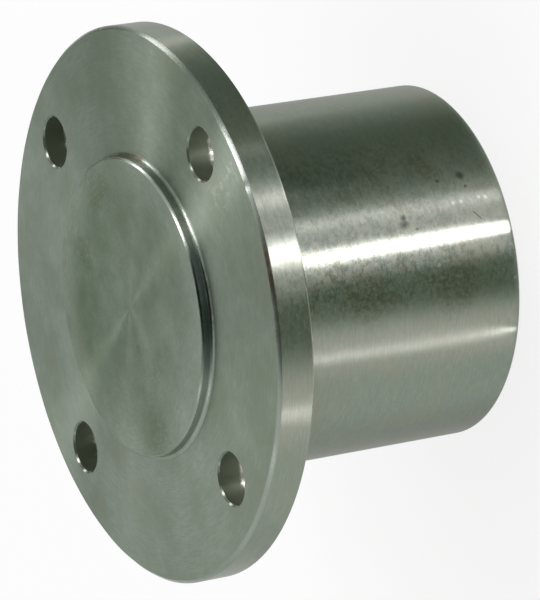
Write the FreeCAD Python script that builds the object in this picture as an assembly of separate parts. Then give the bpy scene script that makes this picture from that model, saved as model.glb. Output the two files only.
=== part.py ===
import FreeCAD, Part
import math
import os

# A turned steel flange, made in one piece: a round plate with four bolt holes, a low
# centring spigot on its front face and a solid, undrilled hub behind it.
# It stands on the hub's end. The origin is the centre of that end, and +Z runs along
# the axis towards the spigot. Sizes are in millimetres.

# Hub behind the plate
hub_diameter = 42.0
hub_length = 34.0
hub_end_chamfer = 0.2
hub_root_radius = 0.8

# Plate. Its diameter follows from the bolt circle and the wall outside the holes: 65 mm.
plate_thickness = 4.5
front_rim_chamfer = 0.45
back_rim_chamfer = 0.25
wall_outside_holes = 3.5

# Centring spigot on the plate's front face
spigot_diameter = 35.0
spigot_height = 1.4
spigot_edge_chamfer = 0.25
spigot_root_radius = 0.3

# Bolt holes. They stand clear of the hub and the spigot, on a circle of 52 mm.
hole_count = 4
hole_diameter = 6.0
hole_edge_chamfer = 0.2
wall_inside_holes = 2.0
first_hole_angle = 45.0

# Worked out from the sizes above
hub_radius = hub_diameter / 2
spigot_radius = spigot_diameter / 2
hole_radius = hole_diameter / 2
bolt_circle_radius = max(hub_radius, spigot_radius) + wall_inside_holes + hole_radius
plate_radius = bolt_circle_radius + hole_radius + wall_outside_holes
back_z = hub_length
front_z = back_z + plate_thickness
top_z = front_z + spigot_height

ORIGIN = FreeCAD.Vector(0, 0, 0)
Z_AXIS = FreeCAD.Vector(0, 0, 1)


def point(radius, height):
    return FreeCAD.Vector(radius, 0, height)


def straight_edges(corners):
    """Straight edges that join the given (radius, height) corners in turn."""
    points = [point(*corner) for corner in corners]
    return [Part.makeLine(start, end) for start, end in zip(points, points[1:])]


def root_arc(centre, radius, start_degrees, end_degrees):
    """The hollow quarter round where a cylinder meets a face."""
    on_arc = []
    for degrees in (start_degrees, (start_degrees + end_degrees) / 2, end_degrees):
        angle = math.radians(degrees)
        on_arc.append(point(centre[0] + radius * math.cos(angle), centre[1] + radius * math.sin(angle)))
    return Part.Arc(*on_arc).toShape()


def half_section():
    """The outline that is turned about the axis, from the hub's end up to the spigot."""
    hub_root = (hub_radius + hub_root_radius, back_z - hub_root_radius)
    spigot_root = (spigot_radius + spigot_root_radius, front_z + spigot_root_radius)
    hub = straight_edges([
        (0, 0),
        (hub_radius - hub_end_chamfer, 0),
        (hub_radius, hub_end_chamfer),
        (hub_radius, hub_root[1]),
    ])
    plate = straight_edges([
        (hub_root[0], back_z),
        (plate_radius - back_rim_chamfer, back_z),
        (plate_radius, back_z + back_rim_chamfer),
        (plate_radius, front_z - front_rim_chamfer),
        (plate_radius - front_rim_chamfer, front_z),
        (spigot_root[0], front_z),
    ])
    spigot = straight_edges([
        (spigot_radius, spigot_root[1]),
        (spigot_radius, top_z - spigot_edge_chamfer),
        (spigot_radius - spigot_edge_chamfer, top_z),
        (0, top_z),
        (0, 0),
    ])
    hub_arc = root_arc(hub_root, hub_root_radius, 180, 90)
    spigot_arc = root_arc(spigot_root, spigot_root_radius, 270, 180)
    return Part.Face(Part.Wire(hub + [hub_arc] + plate + [spigot_arc] + spigot))


def bolt_hole(angle_degrees):
    """The space of one through hole, with a light chamfer at both faces of the plate."""
    overshoot = hole_edge_chamfer
    cone_height = hole_edge_chamfer + overshoot
    cone_radius = hole_radius + cone_height
    below_z = back_z - overshoot
    above_z = front_z + overshoot
    hole = Part.makeCylinder(hole_radius, above_z - below_z, point(0, below_z), Z_AXIS)
    back_cone = Part.makeCone(cone_radius, hole_radius, cone_height, point(0, below_z), Z_AXIS)
    front_cone = Part.makeCone(hole_radius, cone_radius, cone_height, point(0, above_z - cone_height), Z_AXIS)
    hole = hole.fuse([back_cone, front_cone])
    hole.translate(point(bolt_circle_radius, 0))
    hole.rotate(ORIGIN, Z_AXIS, angle_degrees)
    return hole


def make_flange():
    turned = half_section().revolve(ORIGIN, Z_AXIS, 360)
    step = 360.0 / hole_count
    holes = [bolt_hole(first_hole_angle + index * step) for index in range(hole_count)]
    drilled = turned.cut(holes)
    if len(drilled.Solids) != 1:
        raise ValueError("the flange should be one solid")
    return drilled.Solids[0]


os.makedirs("parts", exist_ok=True)
flange = make_flange()
flange.exportStep("parts/flange.step")
print("volume %.1f mm3, valid: %s" % (flange.Volume, flange.isValid()))
print("plate %.1f, bolt circle %.1f, height %.1f mm" % (2 * plate_radius, 2 * bolt_circle_radius, top_z))
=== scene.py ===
import math

import bmesh
import bpy
from mathutils import Matrix, Vector, geometry, noise


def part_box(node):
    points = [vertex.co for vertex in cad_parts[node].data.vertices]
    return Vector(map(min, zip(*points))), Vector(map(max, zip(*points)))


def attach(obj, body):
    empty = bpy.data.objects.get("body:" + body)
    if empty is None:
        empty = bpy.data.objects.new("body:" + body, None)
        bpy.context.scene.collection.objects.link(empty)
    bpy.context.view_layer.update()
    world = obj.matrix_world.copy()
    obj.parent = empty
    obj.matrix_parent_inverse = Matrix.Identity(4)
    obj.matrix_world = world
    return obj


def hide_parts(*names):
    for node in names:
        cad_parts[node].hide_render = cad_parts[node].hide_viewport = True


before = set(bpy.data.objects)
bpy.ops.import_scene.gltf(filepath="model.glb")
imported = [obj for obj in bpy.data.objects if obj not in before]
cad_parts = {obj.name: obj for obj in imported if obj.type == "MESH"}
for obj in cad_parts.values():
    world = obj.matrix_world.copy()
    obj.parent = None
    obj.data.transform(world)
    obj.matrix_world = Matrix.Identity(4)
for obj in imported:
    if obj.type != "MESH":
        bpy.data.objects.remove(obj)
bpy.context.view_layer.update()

# A turned steel flange on a pale studio floor. Lengths are in metres and angles in degrees.
# An azimuth goes round the axis, from 0 at -Y to 90 at +X.
MM = 0.001

# Sizes that the frame's solid has and its box does not give
HUB_RADIUS = 21.0 * MM
HUB_LENGTH = 34.0 * MM
HUB_END_CHAMFER = 0.2 * MM
HUB_ROOT_RADIUS = 0.8 * MM
PLATE_THICKNESS = 4.5 * MM
FRONT_RIM_CHAMFER = 0.45 * MM
BACK_RIM_CHAMFER = 0.25 * MM
SPIGOT_RADIUS = 17.5 * MM
SPIGOT_EDGE_CHAMFER = 0.25 * MM
HOLE_RADIUS = 3.0 * MM
HOLE_EDGE_CHAMFER = 0.2 * MM
BOLT_CIRCLE_RADIUS = 26.0 * MM
HOLE_ANGLES = (45.0, 135.0, 225.0, 315.0)

# The plate's radius and the top of the spigot are the box's own
box_low, box_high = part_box("flange")
PLATE_RADIUS = (box_high.x - box_low.x) / 2
TOP_Z = box_high.z
BACK_Z = HUB_LENGTH
FRONT_Z = HUB_LENGTH + PLATE_THICKNESS
HOLE_MOUTH_RADIUS = HOLE_RADIUS + HOLE_EDGE_CHAMFER

# How finely the round shapes are divided, and where an extra ring divides the two end faces
ROUND_STEPS = 720
HOLE_STEPS = 64
ROOT_STEPS = 8
INNER_RING_SHARE = 0.5
# Faces that meet at a wider angle than this show a sharp edge between them
SHARP_ANGLE = 30
# How strongly the larger faces pull the normals flat, out of 100
FLATNESS = 100
# Points closer than this count as one
SAME_PLACE = 1e-9
# The place of the drilled steel among the flange's materials
DRILLED_SLOT = 1

# A chamfer with softened corners: its points, as shares of its size along the wall and inward
SOFT_CHAMFER = ((1.03, 0.0), (0.88, 0.07), (0.07, 0.88), (0.0, 1.03))

# The worn root of the spigot: distances out from its wall, and heights above the plate
SPIGOT_ROOT = (
    (0.52 * MM, 0.0),
    (0.38 * MM, 0.02 * MM),
    (0.17 * MM, 0.14 * MM),
    (0.04 * MM, 0.29 * MM),
    (0.0, 0.45 * MM),
)

# Small nicks in the front rim, by azimuth. Their width is in degrees, and the wall takes a share.
RIM_NICKS = (-37.0, -20.7, 28.3, 97.0)
NICK_WIDTH = 0.8
NICK_DEPTH = 0.07 * MM
NICK_WALL_SHARE = 0.5
# How far the front rim's chamfer strays, and its waves in a metre on the face and on the wall
EDGE_UNEVENNESS = 0.08 * MM
FACE_WAVES = 170
WALL_WAVES = 230

# The camera. Its lens and sensor are in millimetres.
CAMERA_AZIMUTH = 8.363
CAMERA_ELEVATION = 27.994
CAMERA_ROLL = 99.327
CAMERA_DISTANCE = 0.51569
CAMERA_TARGET = Vector((-1.815, 0.458, 21.300)) * MM
CAMERA_LENS = 263.67
CAMERA_SENSOR = 36.0


def direction(azimuth, elevation=0.0):
    """The unit vector towards an azimuth and elevation."""
    around = math.radians(azimuth)
    up = math.radians(elevation)
    return Vector((math.sin(around) * math.cos(up), -math.cos(around) * math.cos(up), math.sin(up)))


CAMERA_SPOT = CAMERA_TARGET + direction(CAMERA_AZIMUTH, CAMERA_ELEVATION) * CAMERA_DISTANCE


def spot_at(azimuth, radius, height):
    """A place by its azimuth, its distance from the axis and its height."""
    return direction(azimuth) * radius + Vector((0, 0, height))


def polar(radius, degrees, height):
    """A place by its distance from the axis, its angle from +X and its height."""
    angle = math.radians(degrees)
    return Vector((radius * math.cos(angle), radius * math.sin(angle), height))


def add_object(name, data):
    """Puts a new object that shows this data into the scene."""
    item = bpy.data.objects.new(name, data)
    bpy.context.scene.collection.objects.link(item)
    return item


def arc(centre, radius, start_degrees, end_degrees, steps):
    """Points of a root arc in the half section, both ends included."""
    points = []
    for step in range(steps + 1):
        angle = math.radians(start_degrees + (end_degrees - start_degrees) * step / steps)
        points.append((centre[0] + radius * math.cos(angle), centre[1] + radius * math.sin(angle)))
    return points


def broken_edge(radius, height, size, upward):
    """Points of a softened chamfer, from the wall to the face.

    The wall runs up from the face where upward is 1, and down from it where upward is -1.
    """
    return [(radius - size * inward, height + upward * size * along) for along, inward in SOFT_CHAMFER]


def half_sections():
    """The turned stretches of the half section: the hub, the rim and the spigot."""
    hub_root = (HUB_RADIUS + HUB_ROOT_RADIUS, BACK_Z - HUB_ROOT_RADIUS)
    hub = [
        (0, 0),
        (HUB_RADIUS * INNER_RING_SHARE, 0),
        (HUB_RADIUS - HUB_END_CHAMFER, 0),
        (HUB_RADIUS, HUB_END_CHAMFER),
    ]
    hub += arc(hub_root, HUB_ROOT_RADIUS, 180, 90, ROOT_STEPS)
    rim = broken_edge(PLATE_RADIUS, BACK_Z, BACK_RIM_CHAMFER, 1)[::-1]
    rim += broken_edge(PLATE_RADIUS, FRONT_Z, FRONT_RIM_CHAMFER, -1)
    spigot = [(SPIGOT_RADIUS + out, FRONT_Z + height) for out, height in SPIGOT_ROOT]
    spigot += broken_edge(SPIGOT_RADIUS, TOP_Z, SPIGOT_EDGE_CHAMFER, -1)
    spigot += [(SPIGOT_RADIUS * INNER_RING_SHARE, TOP_Z), (0, TOP_Z)]
    return hub, rim, spigot


def ring(mesh, centre, radius, height, count):
    """A circle of new vertices, or a single one where the radius is 0."""
    if radius == 0:
        return [mesh.verts.new(centre + Vector((0, 0, height)))]
    step = 360.0 / count
    return [mesh.verts.new(centre + polar(radius, index * step, height)) for index in range(count)]


def lathe(mesh, section):
    """Turns a run of (radius, height) points about the axis and returns its rings of vertices."""
    rings = [ring(mesh, Vector(), radius, height, ROUND_STEPS) for radius, height in section]
    for lower, upper in zip(rings, rings[1:]):
        for index in range(ROUND_STEPS):
            after = (index + 1) % ROUND_STEPS
            if len(lower) == 1:
                mesh.faces.new((lower[0], upper[after], upper[index]))
            elif len(upper) == 1:
                mesh.faces.new((lower[index], lower[after], upper[0]))
            else:
                mesh.faces.new((lower[index], lower[after], upper[after], upper[index]))
    return rings


def hole_rings(mesh, degrees):
    """The wall of one bolt hole, from its wide ring in the back face to the one in the front."""
    centre = polar(BOLT_CIRCLE_RADIUS, degrees, 0)
    section = [
        (HOLE_MOUTH_RADIUS, BACK_Z),
        (HOLE_RADIUS, BACK_Z + HOLE_EDGE_CHAMFER),
        (HOLE_RADIUS, FRONT_Z - HOLE_EDGE_CHAMFER),
        (HOLE_MOUTH_RADIUS, FRONT_Z),
    ]
    rings = [ring(mesh, centre, radius, height, HOLE_STEPS) for radius, height in section]
    for lower, upper in zip(rings, rings[1:]):
        for index in range(HOLE_STEPS):
            after = (index + 1) % HOLE_STEPS
            face = mesh.faces.new((lower[after], lower[index], upper[index], upper[after]))
            face.material_index = DRILLED_SLOT
    return rings


def inside_opening(spot, middle_radius):
    """Whether a triangle's middle lies in the face's middle opening or in a hole."""
    centres = [polar(BOLT_CIRCLE_RADIUS, angle, 0) for angle in HOLE_ANGLES]
    in_hole = any((spot.xy - centre.xy).length < HOLE_MOUTH_RADIUS for centre in centres)
    return in_hole or spot.xy.length < middle_radius


def drilled_face(mesh, outer, inner, holes, facing_up):
    """The flat ring between two circles of vertices, with the holes left open."""
    loops = [outer, inner] + holes
    verts = [vert for loop in loops for vert in loop]
    edges = []
    start = 0
    for loop in loops:
        count = len(loop)
        edges += [(start + index, start + (index + 1) % count) for index in range(count)]
        start += count
    flat = [Vector((vert.co.x, vert.co.y)) for vert in verts]
    _, _, triangles, origin_verts, _, _ = geometry.delaunay_2d_cdt(flat, edges, [], 0, SAME_PLACE)
    lookup = [verts[sources[0]] for sources in origin_verts]
    middle_radius = inner[0].co.xy.length
    for triangle in triangles:
        corners = [lookup[index] for index in triangle]
        middle = sum((corner.co for corner in corners), Vector()) / 3
        if inside_opening(middle, middle_radius):
            continue
        if not facing_up:
            corners.reverse()
        mesh.faces.new(corners)


def wear_front_rim(rings):
    """Makes the chamfer's width uneven, as on an edge broken by hand."""
    for wall, low_corner, high_corner, face in zip(*rings):
        azimuth = math.degrees(math.atan2(face.co.x, -face.co.y))
        nick = sum(NICK_DEPTH * math.exp(-(((azimuth - spot) / NICK_WIDTH) ** 2)) for spot in RIM_NICKS)
        inward = EDGE_UNEVENNESS * noise.noise(face.co * FACE_WAVES) + nick
        down = EDGE_UNEVENNESS * noise.noise(wall.co * WALL_WAVES) + nick * NICK_WALL_SHARE
        for vert in (high_corner, face):
            vert.co.xy *= 1 - inward / PLATE_RADIUS
        for vert in (wall, low_corner):
            vert.co.z -= down


def flange_mesh(name):
    """The turned body and its bolt holes in one mesh."""
    mesh = bmesh.new()
    hub, rim, spigot = [lathe(mesh, section) for section in half_sections()]
    wear_front_rim(rim[-len(SOFT_CHAMFER):])
    holes = [hole_rings(mesh, angle) for angle in HOLE_ANGLES]
    drilled_face(mesh, rim[0], hub[-1], [rings[0] for rings in holes], facing_up=False)
    drilled_face(mesh, rim[-1], spigot[0], [rings[-1] for rings in holes], facing_up=True)
    bmesh.ops.recalc_face_normals(mesh, faces=mesh.faces)
    for face in mesh.faces:
        face.smooth = True
    data = bpy.data.meshes.new(name)
    mesh.to_mesh(data)
    mesh.free()
    data.set_sharp_from_angle(angle=math.radians(SHARP_ANGLE))
    return data


def build_flange():
    """The flange, with normals that keep its flat faces flat up to their edges."""
    piece = add_object("flange_turned", flange_mesh("flange_turned"))
    weighted = piece.modifiers.new("weighted", "WEIGHTED_NORMAL")
    weighted.keep_sharp = True
    weighted.weight = FLATNESS
    return piece


class Nodes:
    """A short way to write a node tree."""

    def __init__(self, tree):
        self.tree = tree
        tree.nodes.clear()

    def add(self, kind, inputs=None, **settings):
        node = self.tree.nodes.new(kind)
        for name, value in settings.items():
            setattr(node, name, value)
        for name, value in (inputs or {}).items():
            self.put(node.inputs[name], value)
        return node

    def put(self, socket, value):
        if isinstance(value, bpy.types.NodeSocket):
            self.tree.links.new(value, socket)
        else:
            socket.default_value = value

    def math(self, operation, first, second=0.0, third=0.0):
        node = self.add("ShaderNodeMath", operation=operation)
        for socket, value in zip(node.inputs, (first, second, third)):
            self.put(socket, value)
        return node.outputs[0]

    def product(self, *values):
        result = values[0]
        for value in values[1:]:
            result = self.math("MULTIPLY", result, value)
        return result

    def largest(self, *values):
        result = values[0]
        for value in values[1:]:
            result = self.math("MAXIMUM", result, value)
        return result

    def vector_math(self, operation, first, second=(0, 0, 0), output="Vector"):
        node = self.add("ShaderNodeVectorMath", {0: first, 1: second}, operation=operation)
        return node.outputs[output]

    def ramp(self, value, low_in, high_in, low_out=0.0, high_out=1.0):
        """A smooth step from low_out to high_out while the value goes from low_in to high_in."""
        node = self.add("ShaderNodeMapRange", interpolation_type="SMOOTHSTEP")
        for socket, number in zip(node.inputs, (value, low_in, high_in, low_out, high_out)):
            self.put(socket, number)
        return node.outputs[0]

    def fall(self, value, low_in, high_in):
        """A smooth step down from 1 to 0."""
        return self.ramp(value, low_in, high_in, 1.0, 0.0)

    def band(self, value, low, high, soft):
        """1 between low and high, with ends that fade over soft to either side."""
        rise = self.ramp(value, low - soft, low + soft)
        return self.math("MULTIPLY", rise, self.fall(value, high - soft, high + soft))

    def noise(self, vector, scale=1.0, detail=2.0, roughness=0.5):
        settings = {"Vector": vector, "Scale": scale, "Detail": detail, "Roughness": roughness}
        return self.add("ShaderNodeTexNoise", settings).outputs["Fac"]

    def sway(self, value, size, middle):
        """The middle number, swayed by a noise about it."""
        return self.math("MULTIPLY_ADD", self.math("SUBTRACT", value, 0.5), size, middle)

    def blend(self, factor, first, second):
        node = self.add("ShaderNodeMix", data_type="RGBA")
        for socket, value in zip((node.inputs[0], node.inputs[6], node.inputs[7]), (factor, first, second)):
            self.put(socket, value)
        return node.outputs[2]

    def bump(self, height, distance, inputs=None):
        settings = {"Height": height, "Strength": 1.0, "Distance": distance, **(inputs or {})}
        return self.add("ShaderNodeBump", settings).outputs["Normal"]

    def mix_shaders(self, share, first, second):
        node = self.add("ShaderNodeMixShader", {"Fac": share, 1: first, 2: second})
        return node.outputs[0]


def new_material(name):
    """A material, its empty node tree and the socket that its surface goes into."""
    material = bpy.data.materials.new(name)
    material.use_nodes = True
    nodes = Nodes(material.node_tree)
    return material, nodes, nodes.add("ShaderNodeOutputMaterial").inputs["Surface"]


# Colours of the steel and of its wear, and of the painted shade and painted highlights on it
STEEL_COLOUR = (0.275, 0.325, 0.265, 1)
STEEL_GROOVE_COLOUR = (0.215, 0.255, 0.205, 1)
STEEL_WARM_COLOUR = (0.265, 0.295, 0.225, 1)
STEEL_EDGE_COLOUR = (0.28, 0.315, 0.275, 1)
STAIN_COLOUR = (0.125, 0.135, 0.08, 1)
RUST_COLOUR = (0.15, 0.11, 0.06, 1)
DULL_AND_SHADE_COLOUR = (0.02, 0.06, 0.015, 1)
BROWN_MARK_COLOUR = (0.13, 0.13, 0.085, 1)
GREEN_MARK_COLOUR = (0.105, 0.14, 0.11, 1)
BRIGHT_SPECK_COLOUR = (0.48, 0.52, 0.46, 1)
PAINTED_EDGE_HIGHLIGHT_COLOUR = (0.42, 0.46, 0.40, 1)
PAINTED_WALL_SHADE_COLOUR = (0.05, 0.07, 0.065, 1)
PIT_COLOUR = (0.055, 0.075, 0.055, 1)

# How much of the surface's colour each of these takes where it is strongest
COARSE_MARK_SHARE = 0.25
GRAIN_SHARE = 0.35
PATCH_SHARE = 0.6
MOTTLE_SHARE = 0.66
FAINT_MOTTLE_SHARE = 0.03
SPECK_SHARE = 0.3
STAIN_SHARE = 0.55
RUST_SHARE = 0.75
PIT_SHARE = 0.8
DENT_SHARE = 0.55
SCUFF_SHARE = 0.4
FACE_DULLNESS = 0.15
SPIGOT_DULLNESS = 0.33
PAINTED_SHADE_AREA_SHARE = 0.12
SCRATCH_SHARE = 0.6
PAINTED_EDGE_SHADE_SHARE = 0.6
PAINTED_WALL_SHADE_SHARE = 0.75
# The flat faces' dullness varies in patches, between these shares of it
UNEVEN_DULLNESS = (0.3, 1.7)
# The spigot's dullness lessens towards its edge, between these radii and down to this share
SPIGOT_DULL_RADII = (12 * MM, 17 * MM)
SPIGOT_EDGE_DULLNESS = 0.35

STEEL_ROUGHNESS = 0.31
EDGE_ROUGHNESS = 0.25
SPIGOT_ROUGHNESS = 0.25
ROOT_ROUGHNESS = 0.2
# How far rubbing and patches sway the roughness
RUBBED_SWAY = 0.06
PATCH_SWAY = 0.08
# Relief of the tool marks and of the grain on them
MARK_DEPTH = 0.003 * MM
GRAIN_DEPTH_SHARE = 0.2
# The facing tool's marks lean outward on the plate and inward on the spigot
PLATE_LEAN = 0.12
SPIGOT_LEAN = -0.07

# Marks drawn out round the axis: waves in a metre across them and in a radian along them
FINE_MARKS = {"per_metre": 7000, "per_radian": 14, "detail": 3, "roughness": 0.6}
COARSE_MARKS = {"per_metre": 2200, "per_radian": 4, "detail": 2, "roughness": 0.5}
RUBBED_MARKS = {"per_metre": 1300, "per_radian": 26, "detail": 5, "roughness": 0.7}
# How much a metre of height counts across the marks, beside a metre of radius
HEIGHT_STRETCH = 1.7
# Noise that is alike in all directions
CLOUDS = {"scale": 480, "detail": 5, "roughness": 0.85}
SPECKS = {"scale": 2300, "detail": 2, "roughness": 0.6}
TONES = {"scale": 640, "detail": 3, "roughness": 0.6}
PATCHES = {"scale": 130, "detail": 4, "roughness": 0.6}
GRAIN = {"scale": 2600, "detail": 2, "roughness": 0.5}
RAGGED = {"scale": 420, "detail": 4, "roughness": 0.65}

# The side of the hub and rim that rubbing has mottled, by azimuth, with the cosines of the turns
# away from it between which it fades, and its share on the rim
WORN_SIDE = 23.0
WORN_REACH = (0.84, 0.935)
RIM_WEAR = 0.6
# Its share at the hub's end, and the height from which it is full
END_WEAR = 0.65
FULL_WEAR_Z = 16 * MM
# The low side, where the mottling is strongest, by the same two, and its share there and elsewhere
MOTTLED_SIDE = -10.0
MOTTLED_REACH = (0.85, 0.94)
MOTTLED_WEAR = 1.05
CALM_WEAR = 0.6
# Stretches of the plate's back edge with painted shade or a painted highlight, by azimuth and half width
PAINTED_SHADE_EDGES = ((66.0, 22.0), (12.0, 5.0))
PAINTED_HIGHLIGHT_EDGES = ((36.0, 12.0), (1.0, 5.0))
# The stretch of the front rim's chamfer with painted shade that dims its reflection, by the same two
PAINTED_SHADE_RIM = (112.0, 22.0)
# The stretch of the spigot's wall with painted shade, and the one of its edge with a painted highlight
PAINTED_SHADE_WALL = (4.0, 24.0)
PAINTED_HIGHLIGHT_SPIGOT_EDGE = (57.0, 28.0)
# How far the ends of a stretch fade to either side, as a share of its half width
STRETCH_FADE = 0.3

# How ragged a blotch's edge is, and the inner and outer ends of its fade, as shares of its size
BLOTCH_RAGGEDNESS = 1.5
BLOTCH_FADE = (0.2, 1.1)

# Stains by azimuth, radius, height and size
STAINS = (
    (112.0, 14.5 * MM, TOP_Z, 3.5 * MM),
    (150.0, 12.0 * MM, TOP_Z, 3.0 * MM),
    (-74.0, 15.0 * MM, TOP_Z, 3.5 * MM),
    (-75.0, 4.9 * MM, TOP_Z, 0.6 * MM),
    (-50.0, 9.0 * MM, TOP_Z, 2.5 * MM),
    (37.0, HUB_RADIUS, 9.0 * MM, 2.5 * MM),
    (0.0, HUB_RADIUS, 20.0 * MM, 4.0 * MM),
    (-2.0, HUB_RADIUS, 8.0 * MM, 4.0 * MM),
)
# Rust in the spigot's root and along the front rim, by the same four
RUST = (
    (93.0, SPIGOT_RADIUS + 0.5 * MM, FRONT_Z + 0.1 * MM, 1.2 * MM),
    (88.0, SPIGOT_RADIUS + 0.5 * MM, FRONT_Z + 0.1 * MM, 1.4 * MM),
    (83.0, SPIGOT_RADIUS + 0.5 * MM, FRONT_Z + 0.1 * MM, 1.5 * MM),
    (78.0, SPIGOT_RADIUS + 0.5 * MM, FRONT_Z + 0.1 * MM, 1.4 * MM),
    (13.0, PLATE_RADIUS - 0.2 * MM, FRONT_Z - 0.2 * MM, 2.0 * MM),
    (9.5, PLATE_RADIUS - 0.2 * MM, FRONT_Z - 0.2 * MM, 1.6 * MM),
)
# Small dark pits in the hub, and bright dents, by the same four
PITS = (
    (20.0, HUB_RADIUS, 14.0 * MM, 0.7 * MM),
    (22.2, HUB_RADIUS, 13.85 * MM, 0.5 * MM),
    (18.0, HUB_RADIUS, 12.4 * MM, 0.3 * MM),
    (33.5, HUB_RADIUS, 4.8 * MM, 0.7 * MM),
    (29.5, HUB_RADIUS, 4.6 * MM, 0.3 * MM),
    (32.6, HUB_RADIUS, 7.95 * MM, 0.3 * MM),
)
DENTS = (
    (5.85, HUB_RADIUS, 10.55 * MM, 0.3 * MM),
    (-1.8, HUB_RADIUS, 0.6 * MM, 0.25 * MM),
    (25.0, HUB_RADIUS, 2.5 * MM, 0.3 * MM),
    (25.3, HUB_RADIUS, 3.35 * MM, 0.3 * MM),
    (24.7, HUB_RADIUS, 5.8 * MM, 0.28 * MM),
    (24.5, HUB_RADIUS, 6.9 * MM, 0.3 * MM),
)
# Scuffed places on the face of the plate, and places of painted shade that dim its reflections, by the same
# four
SCUFFS = (
    (33.0, 26.0 * MM, FRONT_Z, 3.5 * MM),
    (34.5, 30.5 * MM, FRONT_Z, 2.5 * MM),
)
PAINTED_SHADE_AREAS = (
    (116.0, 28.0 * MM, FRONT_Z, 38 * MM),
    (-144.0, 27.0 * MM, FRONT_Z, 12 * MM),
)
# The ends of one scratch in the hub, by azimuth, radius and height, and how its sides fade
SCRATCH_START = (20.7, HUB_RADIUS, 4.6 * MM)
SCRATCH_END = (18.2, HUB_RADIUS, 3.8 * MM)
SCRATCH_FADE = (0.042 * MM, 0.14 * MM)


class TurnedSurface:
    """Places on the part as the lathe tool meets them: across its marks and round the axis."""

    def __init__(self, nodes):
        self.nodes = nodes
        coordinates = nodes.add("ShaderNodeTexCoord")
        self.place = coordinates.outputs["Object"]
        x, y, self.z = nodes.add("ShaderNodeSeparateXYZ", {"Vector": self.place}).outputs
        squares = [nodes.math("MULTIPLY", side, side) for side in (x, y)]
        self.radius = nodes.math("SQRT", nodes.math("ADD", *squares))
        self.round_x = nodes.math("DIVIDE", x, self.radius)
        self.round_y = nodes.math("DIVIDE", y, self.radius)
        self.across = nodes.math("MULTIPLY_ADD", self.z, HEIGHT_STRETCH, self.radius)
        facing = nodes.add("ShaderNodeSeparateXYZ", {"Vector": coordinates.outputs["Normal"]}).outputs[2]
        level = nodes.math("MULTIPLY", facing, facing)
        straight = nodes.math("ABSOLUTE", nodes.math("MULTIPLY_ADD", level, 2.0, -1.0))
        self.slanted = nodes.math("SUBTRACT", 1.0, straight)
        self.flat = nodes.ramp(level, 0.85, 0.98)
        self.ragged = nodes.math("SUBTRACT", nodes.noise(self.place, **RAGGED), 0.5)
        self.worn = self.worn_area()
        self.on_spigot = nodes.product(
            nodes.fall(self.radius, SPIGOT_RADIUS - 0.1 * MM, SPIGOT_RADIUS + 0.1 * MM),
            nodes.ramp(self.z, FRONT_Z + 0.5 * MM, TOP_Z - 0.2 * MM),
        )
        self.back_edge = nodes.product(
            nodes.ramp(self.radius, PLATE_RADIUS - 0.3 * MM, PLATE_RADIUS - 0.1 * MM),
            nodes.fall(self.z, BACK_Z + 0.25 * MM, BACK_Z + 0.4 * MM),
        )

    def toward(self, azimuth):
        """How far a place lies round to the side at this azimuth: 1 on it and 0 a quarter turn away."""
        side = direction(azimuth)
        first = self.nodes.math("MULTIPLY", self.round_x, side.x)
        return self.nodes.math("MULTIPLY_ADD", self.round_y, side.y, first)

    def stretch(self, azimuth, half_width):
        """The part of the way round that lies about this azimuth, with soft ends."""
        inner = math.cos(math.radians(half_width * (1 - STRETCH_FADE)))
        outer = math.cos(math.radians(half_width * (1 + STRETCH_FADE)))
        return self.nodes.ramp(self.toward(azimuth), outer, inner)

    def stretches(self, spots):
        """Several such stretches at once."""
        return self.nodes.largest(*(self.stretch(*spot) for spot in spots))

    def worn_area(self):
        """How strongly the hub and the rim are mottled. The flat faces are not."""
        nodes = self.nodes
        return nodes.product(
            nodes.ramp(self.toward(WORN_SIDE), *WORN_REACH),
            nodes.math("SUBTRACT", 1.0, self.flat),
            nodes.ramp(self.radius, HUB_RADIUS, HUB_RADIUS + 2 * MM, 1.0, RIM_WEAR),
            nodes.ramp(self.z, 0.0, FULL_WEAR_Z, END_WEAR, 1.0),
            nodes.ramp(self.toward(MOTTLED_SIDE), *MOTTLED_REACH, CALM_WEAR, MOTTLED_WEAR),
        )

    def painted_edge_shade(self):
        """Painted shade: the dark stretches of the plate's back edge and of its front chamfer."""
        nodes = self.nodes
        front = nodes.product(
            nodes.ramp(self.radius, PLATE_RADIUS - 0.6 * MM, PLATE_RADIUS - 0.4 * MM),
            nodes.ramp(self.z, FRONT_Z - 0.6 * MM, FRONT_Z - 0.45 * MM),
            nodes.ramp(self.slanted, 0.2, 0.6),
            self.stretch(*PAINTED_SHADE_RIM),
        )
        return nodes.math("MULTIPLY_ADD", self.back_edge, self.stretches(PAINTED_SHADE_EDGES), front)

    def painted_edge_highlight(self):
        """Painted highlights: the bright stretches of the plate's back edge and of the spigot's edge."""
        nodes = self.nodes
        spigot = nodes.product(
            nodes.ramp(self.radius, SPIGOT_RADIUS - 0.35 * MM, SPIGOT_RADIUS - 0.2 * MM),
            nodes.fall(self.radius, SPIGOT_RADIUS, SPIGOT_RADIUS + 0.1 * MM),
            nodes.ramp(self.z, TOP_Z - 0.35 * MM, TOP_Z - 0.2 * MM),
            self.stretch(*PAINTED_HIGHLIGHT_SPIGOT_EDGE),
        )
        return nodes.math("MULTIPLY_ADD", self.back_edge, self.stretches(PAINTED_HIGHLIGHT_EDGES), spigot)

    def painted_wall_shade(self):
        """Painted shade: the dark stretch of the spigot's wall."""
        nodes = self.nodes
        wall = nodes.band(self.radius, SPIGOT_RADIUS - 0.2 * MM, SPIGOT_RADIUS + 0.2 * MM, 0.1 * MM)
        return nodes.math("MULTIPLY", wall, self.stretch(*PAINTED_SHADE_WALL))

    def spigot_root(self):
        """The hollow at the foot of the spigot's wall."""
        nodes = self.nodes
        return nodes.product(
            nodes.ramp(self.radius, SPIGOT_RADIUS - 0.05 * MM, SPIGOT_RADIUS),
            nodes.fall(self.radius, SPIGOT_RADIUS + 0.5 * MM, SPIGOT_RADIUS + 0.8 * MM),
            nodes.ramp(self.slanted, 0.05, 0.3),
        )

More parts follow.
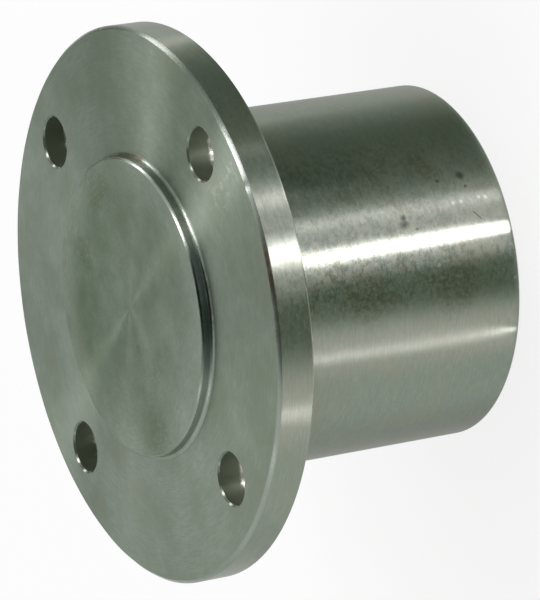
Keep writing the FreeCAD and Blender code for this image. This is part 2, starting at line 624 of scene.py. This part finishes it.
    def marks(self, per_metre, per_radian, detail, roughness):
        """Noise drawn out round the axis: fine across the marks and long along them."""
        nodes = self.nodes
        parts = {
            "X": nodes.math("MULTIPLY", self.across, per_metre),
            "Y": nodes.math("MULTIPLY", self.round_x, per_radian),
            "Z": nodes.math("MULTIPLY", self.round_y, per_radian),
        }
        drawn_out = nodes.add("ShaderNodeCombineXYZ", parts).outputs[0]
        return nodes.noise(drawn_out, detail=detail, roughness=roughness)

    def leaning_normal(self):
        """The surface's normal, tipped a little along the radius on the flat faces."""
        nodes = self.nodes
        lean = nodes.math("MULTIPLY_ADD", self.on_spigot, SPIGOT_LEAN - PLATE_LEAN, PLATE_LEAN)
        lean = nodes.math("MULTIPLY", lean, self.flat)
        parts = {
            "X": nodes.math("MULTIPLY", self.round_x, lean),
            "Y": nodes.math("MULTIPLY", self.round_y, lean),
        }
        tip = nodes.add("ShaderNodeCombineXYZ", parts).outputs[0]
        to_world = {"convert_from": "OBJECT", "convert_to": "WORLD"}
        tip = nodes.add("ShaderNodeVectorTransform", {"Vector": tip}, **to_world).outputs[0]
        normal = nodes.add("ShaderNodeNewGeometry").outputs["Normal"]
        return nodes.vector_math("NORMALIZE", nodes.vector_math("ADD", normal, tip))

    def blotch(self, azimuth, radius, height, size):
        """A mark about a place on the part, with an irregular edge."""
        nodes = self.nodes
        gap = nodes.vector_math("DISTANCE", self.place, spot_at(azimuth, radius, height), "Value")
        gap = nodes.math("MULTIPLY_ADD", self.ragged, size * BLOTCH_RAGGEDNESS, gap)
        return nodes.fall(gap, *(size * share for share in BLOTCH_FADE))

    def blotches(self, spots):
        """Several such marks at once."""
        return self.nodes.largest(*(self.blotch(*spot) for spot in spots))

    def scratch(self, start, end, fade):
        """A short straight scratch between two places given by azimuth, radius and height."""
        nodes = self.nodes
        first = spot_at(*start)
        run = spot_at(*end) - first
        way = run.normalized()
        from_first = nodes.vector_math("SUBTRACT", self.place, first)
        along = nodes.vector_math("DOT_PRODUCT", from_first, way, "Value")
        along = nodes.math("MINIMUM", nodes.math("MAXIMUM", along, 0.0), run.length)
        nearest = nodes.add("ShaderNodeVectorMath", {0: way, "Scale": along}, operation="SCALE")
        gap = nodes.vector_math("DISTANCE", from_first, nearest.outputs["Vector"], "Value")
        return nodes.fall(gap, *fade)


class SteelTextures:
    """The noises that the steel's colour, roughness and relief share."""

    def __init__(self, nodes, surface):
        self.fine = surface.marks(**FINE_MARKS)
        self.coarse = surface.marks(**COARSE_MARKS)
        self.rubbed = surface.marks(**RUBBED_MARKS)
        self.patches = nodes.noise(surface.place, **PATCHES)
        self.grain = nodes.noise(surface.place, **GRAIN)


def bare_colour(nodes, surface, textures):
    """The steel before wear, with its tool marks, grain and warmer patches."""
    colour = nodes.blend(nodes.ramp(textures.fine, 0.3, 0.7), STEEL_GROOVE_COLOUR, STEEL_COLOUR)
    coarse = nodes.ramp(textures.coarse, 0.35, 0.65, 0.0, COARSE_MARK_SHARE)
    colour = nodes.blend(coarse, colour, STEEL_GROOVE_COLOUR)
    grain = nodes.ramp(textures.grain, 0.3, 0.7, 0.0, GRAIN_SHARE)
    colour = nodes.blend(grain, colour, STEEL_GROOVE_COLOUR)
    patches = nodes.ramp(textures.patches, 0.45, 0.7, 0.0, PATCH_SHARE)
    colour = nodes.blend(patches, colour, STEEL_WARM_COLOUR)
    return nodes.blend(surface.slanted, colour, STEEL_EDGE_COLOUR)


def darkly_worn(nodes, surface, textures, colour):
    """Adds the mottling, the stains, the rust and the pits to a colour."""
    clouds = nodes.noise(surface.place, **CLOUDS)
    wear = nodes.math("MULTIPLY_ADD", surface.worn, MOTTLE_SHARE, FAINT_MOTTLE_SHARE)
    mottle = nodes.product(nodes.ramp(nodes.math("ADD", textures.rubbed, clouds), 0.93, 1.14), wear)
    tones = nodes.ramp(nodes.noise(surface.place, **TONES), 0.42, 0.58)
    colour = nodes.blend(mottle, colour, nodes.blend(tones, BROWN_MARK_COLOUR, GREEN_MARK_COLOUR))
    stain = nodes.product(surface.blotches(STAINS), nodes.ramp(textures.grain, 0.25, 0.65), STAIN_SHARE)
    colour = nodes.blend(stain, colour, STAIN_COLOUR)
    rust = nodes.product(surface.blotches(RUST), nodes.ramp(surface.slanted, 0.1, 0.4), RUST_SHARE)
    colour = nodes.blend(rust, colour, RUST_COLOUR)
    pits = nodes.product(surface.blotches(PITS), PIT_SHARE)
    return nodes.blend(pits, colour, PIT_COLOUR)


def brightly_worn(nodes, surface, textures, colour):
    """Adds the bright specks, the dents and the scuffs to a colour."""
    specks = nodes.ramp(nodes.noise(surface.place, **SPECKS), 0.56, 0.72)
    scuffed = nodes.ramp(textures.rubbed, 0.5, 0.62)
    bright = nodes.largest(
        nodes.product(specks, surface.worn, SPECK_SHARE),
        nodes.product(surface.blotches(DENTS), DENT_SHARE),
        nodes.product(surface.blotches(SCUFFS), scuffed, SCUFF_SHARE),
    )
    return nodes.blend(bright, colour, BRIGHT_SPECK_COLOUR)


def dulled_and_painted_light(nodes, surface, textures, colour):
    """Adds what dulls the faces, the scratch, the painted shade on the face, the edges and the spigot's
    wall, and the painted highlights on the edges, to a colour.
    """
    uneven = nodes.ramp(textures.patches, 0.3, 0.7, *UNEVEN_DULLNESS)
    dull_and_shade = nodes.product(surface.flat, uneven, FACE_DULLNESS)
    inner = nodes.ramp(surface.radius, *SPIGOT_DULL_RADII, 1.0, SPIGOT_EDGE_DULLNESS)
    on_spigot = nodes.math("MULTIPLY", surface.on_spigot, inner)
    dull_and_shade = nodes.math("MULTIPLY_ADD", on_spigot, SPIGOT_DULLNESS, dull_and_shade)
    # Painted shade: broad darker patches on the face that dim its reflections
    dull_and_shade = nodes.math("MULTIPLY_ADD", surface.blotches(PAINTED_SHADE_AREAS), PAINTED_SHADE_AREA_SHARE, dull_and_shade)
    scratch = surface.scratch(SCRATCH_START, SCRATCH_END, SCRATCH_FADE)
    # The scratch, and the painted shade on stretches of the plate's edges
    dull_and_shade = nodes.largest(
        dull_and_shade,
        nodes.product(scratch, SCRATCH_SHARE),
        nodes.product(surface.painted_edge_shade(), PAINTED_EDGE_SHADE_SHARE),
    )
    colour = nodes.blend(dull_and_shade, colour, DULL_AND_SHADE_COLOUR)
    # Painted shade on a stretch of the spigot's wall
    wall = nodes.product(surface.painted_wall_shade(), PAINTED_WALL_SHADE_SHARE)
    colour = nodes.blend(wall, colour, PAINTED_WALL_SHADE_COLOUR)
    # Painted highlights along stretches of the back edge and the spigot's edge
    return nodes.blend(surface.painted_edge_highlight(), colour, PAINTED_EDGE_HIGHLIGHT_COLOUR)


def steel_roughness(nodes, surface, textures):
    """The roughness, which is less on the edges, on the spigot and in its root."""
    rough = nodes.sway(textures.rubbed, RUBBED_SWAY, STEEL_ROUGHNESS)
    rough = nodes.sway(textures.patches, PATCH_SWAY, rough)
    rough = nodes.math("MULTIPLY_ADD", surface.slanted, EDGE_ROUGHNESS - STEEL_ROUGHNESS, rough)
    rough = nodes.math("MULTIPLY_ADD", surface.spigot_root(), ROOT_ROUGHNESS - EDGE_ROUGHNESS, rough)
    return nodes.math("MULTIPLY_ADD", surface.on_spigot, SPIGOT_ROUGHNESS - STEEL_ROUGHNESS, rough)


def turned_steel():
    """Steel as the lathe left it: anisotropic round the axis, marked by handling, and with painted shade
    and painted highlights in places.
    """
    material, nodes, surface_socket = new_material("turned_steel")
    surface = TurnedSurface(nodes)
    textures = SteelTextures(nodes, surface)
    colour = bare_colour(nodes, surface, textures)
    for worn in (darkly_worn, brightly_worn, dulled_and_painted_light):
        colour = worn(nodes, surface, textures, colour)
    height = nodes.math("ADD", textures.fine, textures.coarse)
    height = nodes.math("MULTIPLY_ADD", textures.grain, GRAIN_DEPTH_SHARE, height)
    tangent = nodes.add("ShaderNodeTangent", direction_type="RADIAL", axis="Z")
    shader = nodes.add(
        "ShaderNodeBsdfPrincipled",
        {
            "Base Color": colour,
            "Metallic": 1.0,
            "Roughness": steel_roughness(nodes, surface, textures),
            "Anisotropic": 1.0,
            "Anisotropic Rotation": 0.25,
            "Normal": nodes.bump(height, MARK_DEPTH, {"Normal": surface.leaning_normal()}),
            "Tangent": tangent.outputs["Tangent"],
        },
    )
    nodes.put(surface_socket, shader.outputs["BSDF"])
    return material


# The drilled wall's dark colour is partly painted shade inside the holes
DRILLED_COLOUR = (0.115, 0.145, 0.094, 1)
DRILLED_PAINTED_GLINT_COLOUR = (0.5, 0.5, 0.44, 1)
HOLE_EDGE_COLOUR = (0.15, 0.18, 0.145, 1)
DRILLED_METALLIC = 0.6
DRILLED_ROUGHNESS = 0.5
DRILLED_BRIGHT_ROUGHNESS = 0.17
# The wall has a painted glint: a bright band near the back of the plate that stands in for a reflection.
# The brightness fades between these heights, with a ragged end.
DRILLED_PAINTED_GLINT_TOP = (BACK_Z + 1.4 * MM, BACK_Z + 2.0 * MM)
DRILLED_RAGGED_DEPTH = 1.2 * MM
DRILLED_RAGGED = {"scale": 1100, "detail": 3}
# The drill's rings: waves in a metre along the hole, and their relief
DRILLED_RINGS = 2600
DRILLED_RING_DEPTH = 0.01 * MM


def drilled_steel():
    """The walls of the bolt holes: darker and rougher, with a painted glint near the back and rings left by
    the drill.
    """
    material, nodes, surface_socket = new_material("drilled_steel")
    place = nodes.add("ShaderNodeTexCoord").outputs["Object"]
    z = nodes.add("ShaderNodeSeparateXYZ", {"Vector": place}).outputs[2]
    depth = nodes.sway(nodes.noise(place, **DRILLED_RAGGED), DRILLED_RAGGED_DEPTH, z)
    # Painted glint: a bright band near the back of the hole wall
    bright = nodes.fall(depth, *DRILLED_PAINTED_GLINT_TOP)
    edge = nodes.ramp(z, FRONT_Z - 1.2 * HOLE_EDGE_CHAMFER, FRONT_Z - 0.9 * HOLE_EDGE_CHAMFER)
    colour = nodes.blend(bright, DRILLED_COLOUR, DRILLED_PAINTED_GLINT_COLOUR)
    colour = nodes.blend(edge, colour, HOLE_EDGE_COLOUR)
    smooth = nodes.math("MAXIMUM", bright, edge)
    smoothing = DRILLED_BRIGHT_ROUGHNESS - DRILLED_ROUGHNESS
    rough = nodes.math("MULTIPLY_ADD", smooth, smoothing, DRILLED_ROUGHNESS)
    along = nodes.add("ShaderNodeCombineXYZ", {"Z": nodes.math("MULTIPLY", z, DRILLED_RINGS)}).outputs[0]
    shader = nodes.add(
        "ShaderNodeBsdfPrincipled",
        {
            "Base Color": colour,
            "Metallic": DRILLED_METALLIC,
            "Roughness": rough,
            "Normal": nodes.bump(nodes.noise(along, detail=3), DRILLED_RING_DEPTH),
        },
    )
    nodes.put(surface_socket, shader.outputs["BSDF"])
    return material


flange = build_flange()
flange.data.materials.append(turned_steel())
flange.data.materials.append(drilled_steel())
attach(flange, "root")
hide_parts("flange")


FLOOR_SIZE = 20
FLOOR_COLOUR = (0.94, 0.94, 0.94, 1)
WHITE = (1, 1, 1, 1)
# The share of plain white in the floor that the camera and the reflections see
FLOOR_GLOW = 0.80


def make_floor():
    """A pale floor that is nearly white to the camera and in reflections and still takes the shadow."""
    bpy.ops.mesh.primitive_plane_add(size=FLOOR_SIZE)
    floor = bpy.context.object
    floor.name = "floor"
    material, nodes, surface_socket = new_material("pale_floor")
    matt = nodes.add("ShaderNodeBsdfDiffuse", {"Color": FLOOR_COLOUR}).outputs["BSDF"]
    white = nodes.add("ShaderNodeEmission", {"Color": WHITE, "Strength": 1.0}).outputs["Emission"]
    path = nodes.add("ShaderNodeLightPath").outputs
    mirrored = nodes.math("ADD", path["Is Glossy Ray"], path["Is Transmission Ray"])
    seen = nodes.math("MINIMUM", nodes.math("ADD", path["Is Camera Ray"], mirrored), 1.0)
    nodes.put(surface_socket, nodes.mix_shaders(nodes.math("MULTIPLY", seen, FLOOR_GLOW), matt, white))
    floor.data.materials.append(material)


# Dimmer parts of the studio: from and to azimuth, from and to height on the unit sphere, and how dim
DIM_PARTS = (
    (58.0, 120.0, -1.0, 0.5, 0.7),
    (-26.0, 4.0, -1.0, 0.45, 0.6),
    (-40.0, 46.0, 0.4, 1.2, 0.95),
    (150.0, 176.0, 0.58, 0.88, 0.65),
    (146.0, 184.0, -1.0, 0.44, 0.7),
    (-165.0, -115.0, -1.0, 0.4, 0.3),
    (88.0, 124.0, 0.45, 0.8, 0.35),
    (124.0, 146.0, 0.2, 0.75, 0.35),
)
DIM_TINT = (0.84, 1.0, 0.79, 1)
# How far their edges fade to either side, in azimuth and in height
DIM_SOFT_AZIMUTH = 8
DIM_SOFT_HEIGHT = 0.08


def make_world():
    """A white studio all round, with its dimmer parts."""
    world = bpy.data.worlds.new("studio")
    world.use_nodes = True
    bpy.context.scene.world = world
    nodes = Nodes(world.node_tree)
    out = nodes.add("ShaderNodeOutputWorld")
    ray = nodes.add("ShaderNodeTexCoord").outputs["Generated"]
    x, y, z = nodes.add("ShaderNodeSeparateXYZ", {"Vector": ray}).outputs
    azimuth = nodes.math("DEGREES", nodes.math("ARCTAN2", x, nodes.math("MULTIPLY", y, -1.0)))
    level = 1.0
    for start, end, bottom, top, dimming in DIM_PARTS:
        across = nodes.band(azimuth, start, end, DIM_SOFT_AZIMUTH)
        upright = nodes.band(z, bottom, top, DIM_SOFT_HEIGHT)
        dimmed = nodes.math("MULTIPLY_ADD", nodes.product(across, upright), -dimming, 1.0)
        level = nodes.math("MULTIPLY", level, dimmed)
    tint = nodes.blend(level, DIM_TINT, WHITE)
    background = nodes.add("ShaderNodeBackground", {"Color": tint, "Strength": level})
    nodes.put(out.inputs["Surface"], background.outputs["Background"])


# The places from which a card's edges are drawn: a wall's radius and height, and how far it tips up
HUB_ROWS = tuple((HUB_RADIUS, height * MM, 0) for height in (0.3, 12, 24, 33))
RIM_ROWS = tuple((PLATE_RADIUS, 36 * MM, tip) for tip in (-2, 0, 3, 6, 9, 12))
BOTH_ROWS = HUB_ROWS + RIM_ROWS

# The cards by name, height above the floor, azimuth from the camera's, width, softness, glow and rows.
# A higher card lies over a lower one. The hub or the rim shows a card at the azimuth given.
CARDS = (
    ("card_low_side", 0.10 * MM, -82, 34, 18, (0.61, 0.60, 0.59), HUB_ROWS),
    ("card_low_rim", 0.10 * MM, -82, 34, 18, (0.66, 0.66, 0.64), RIM_ROWS),
    ("card_dark_right", 0.10 * MM, 41, 27, 10, (0.17, 0.20, 0.155), BOTH_ROWS),
    ("card_dark_left", 0.10 * MM, -8.5, 5, 9, (0.35, 0.39, 0.33), BOTH_ROWS),
    ("card_dusk_right", 0.12 * MM, 60, 4, 12, (0.40, 0.42, 0.38), HUB_ROWS),
    ("card_right_side", 0.15 * MM, 86, 28, 14, (0.70, 0.70, 0.68), BOTH_ROWS),
    ("card_main_wide", 0.15 * MM, 8.8, 13, 6, (1.66, 1.5, 1.64), HUB_ROWS),
    ("card_rim_wide", 0.15 * MM, 8.0, 12, 6, (1.25, 1.14, 1.23), RIM_ROWS),
    ("card_thin_wide", 0.15 * MM, -26.5, 6, 8, (1.36, 1.2, 1.24), BOTH_ROWS),
    ("card_rim_dark", 0.18 * MM, 36, 26, 5, (0.06, 0.085, 0.055), RIM_ROWS),
    ("card_main", 0.20 * MM, 6.0, 1.4, 1.7, (18, 16.2, 18), HUB_ROWS),
    ("card_rim_main", 0.20 * MM, 4.55, 0.5, 1.5, (18, 16.2, 18), RIM_ROWS),
    ("card_second", 0.20 * MM, 16.6, 1.4, 2.3, (2.7, 2.4, 2.7), HUB_ROWS),
    ("card_rim_second", 0.20 * MM, 16.3, 1.2, 1.4, (4.7, 4.0, 4.25), RIM_ROWS),
    ("card_rim_third", 0.20 * MM, 27.2, 0.8, 1.6, (0.9, 0.9, 0.86), RIM_ROWS),
    ("card_rim_right", 0.20 * MM, 62.3, 1.0, 2.5, (1.9, 1.75, 1.7), RIM_ROWS),
    ("card_thin", 0.20 * MM, -27.2, 0.3, 1.1, (5.6, 4.7, 5.2), HUB_ROWS),
    ("card_rim_thin", 0.20 * MM, -26.2, 0.4, 1.2, (5.2, 4.4, 4.8), RIM_ROWS),
)
# A card's columns are at most this far apart, with at least this many in its soft edge
CARD_STEP = 1.0
SOFT_COLUMNS = 4


def glow_material():
    """A light whose colour and cover the card's own vertices give."""
    material, nodes, surface_socket = new_material("card_glow")
    glow = nodes.add("ShaderNodeAttribute", attribute_name="glow").outputs
    light = nodes.add("ShaderNodeEmission", {"Color": glow["Color"], "Strength": 1.0}).outputs["Emission"]
    clear = nodes.add("ShaderNodeBsdfTransparent").outputs["BSDF"]
    nodes.put(surface_socket, nodes.mix_shaders(glow["Alpha"], clear, light))
    return material


def floor_spot(azimuth, radius, height, tip):
    """Where on the floor the camera looks when it sees it mirrored in a wall of the part."""
    wall = spot_at(azimuth, radius, height)
    normal = direction(azimuth, tip)
    ray = (wall - CAMERA_SPOT).normalized()
    ray -= normal * 2 * ray.dot(normal)
    return wall - ray * height / ray.z


def card_columns(width, soft):
    """The azimuths of a card's columns about its middle, and how much each one covers."""
    step = min(CARD_STEP, soft / SOFT_COLUMNS)
    reach = width / 2 + soft
    count = math.ceil(reach / step)
    columns = []
    for index in range(-count, count + 1):
        cover = min(1.0, max(0.0, (reach - abs(index * step)) / soft))
        columns.append((index * step, cover * cover * (3 - 2 * cover)))
    return columns


def card_mesh(name, lift, middle, width, soft, colour, rows):
    mesh = bmesh.new()
    glow = mesh.verts.layers.float_color.new("glow")
    columns = []
    for turn, cover in card_columns(width, soft):
        column = []
        for row in rows:
            vert = mesh.verts.new(floor_spot(middle + turn, *row) + Vector((0, 0, lift)))
            vert[glow] = (*colour, cover)
            column.append(vert)
        columns.append(column)
    for left, right in zip(columns, columns[1:]):
        for row in range(len(rows) - 1):
            mesh.faces.new((left[row], left[row + 1], right[row + 1], right[row]))
    data = bpy.data.meshes.new(name)
    mesh.to_mesh(data)
    mesh.free()
    return data


def floor_card(material, name, lift, offset, width, soft, colour, rows):
    """A glowing card on the floor that only reflections see."""
    data = card_mesh(name, lift, CAMERA_AZIMUTH + offset, width, soft, colour, rows)
    data.materials.append(material)
    card = add_object(name, data)
    card.visible_camera = False
    card.visible_diffuse = False
    card.visible_transmission = False
    card.visible_shadow = False


# The lamps by name, azimuth, elevation, width and height in degrees, and radiance
SOFTBOXES = (
    ("softbox_high", 84, 56, 12, 10, 11.4),
    ("softbox_high_wide", 84, 56, 22, 10, 2.2),
    ("softbox_high_back", 114, 65, 12, 14, 6.5),
    ("softbox_side", 134, 25, 12, 9, 5),
    ("softbox_side_wide", 132, 25, 34, 9, 1.1),
    ("softbox_side_back", 145, 34, 8, 14, 2.5),
    ("softbox_left", -79, 44, 12, 10, 1.2),
)
LAMP_DISTANCE = 1.5
LAMP_COLOUR = (1.0, 0.9, 1.0)
LAMP_DIFFUSE_SHARE = 0.3
LIGHT_CENTRE = Vector((0, 0, 20 * MM))


def softbox(name, azimuth, elevation, width_degrees, height_degrees, radiance):
    """A rectangular lamp that faces the part. Its radiance is 1 where a white card would look white."""
    data = bpy.data.lights.new(name, "AREA")
    data.shape = "RECTANGLE"
    data.size = 2 * LAMP_DISTANCE * math.tan(math.radians(width_degrees / 2))
    data.size_y = 2 * LAMP_DISTANCE * math.tan(math.radians(height_degrees / 2))
    data.energy = radiance * math.pi * data.size * data.size_y
    data.diffuse_factor = LAMP_DIFFUSE_SHARE
    data.color = LAMP_COLOUR
    lamp = add_object(name, data)
    back = direction(azimuth, elevation)
    lamp.location = LIGHT_CENTRE + back * LAMP_DISTANCE
    lamp.rotation_mode = "QUATERNION"
    lamp.rotation_quaternion = back.to_track_quat("Z", "Y")
    lamp.visible_camera = False


def make_camera():
    """The camera, rolled so that the flange lies on its side in the picture."""
    data = bpy.data.cameras.new("camera")
    data.lens = CAMERA_LENS
    data.sensor_width = CAMERA_SENSOR
    camera = add_object("camera", data)
    level = direction(CAMERA_AZIMUTH, CAMERA_ELEVATION).to_track_quat("Z", "Y")
    roll = Matrix.Rotation(math.radians(-CAMERA_ROLL), 4, "Z").to_quaternion()
    camera.rotation_mode = "QUATERNION"
    camera.rotation_quaternion = level @ roll
    camera.location = CAMERA_SPOT
    bpy.context.scene.camera = camera


make_floor()
make_world()
card_glow = glow_material()
for card in CARDS:
    floor_card(card_glow, *card)
for lamp in SOFTBOXES:
    softbox(*lamp)
make_camera()

scene = bpy.context.scene
scene.view_settings.view_transform = "Standard"
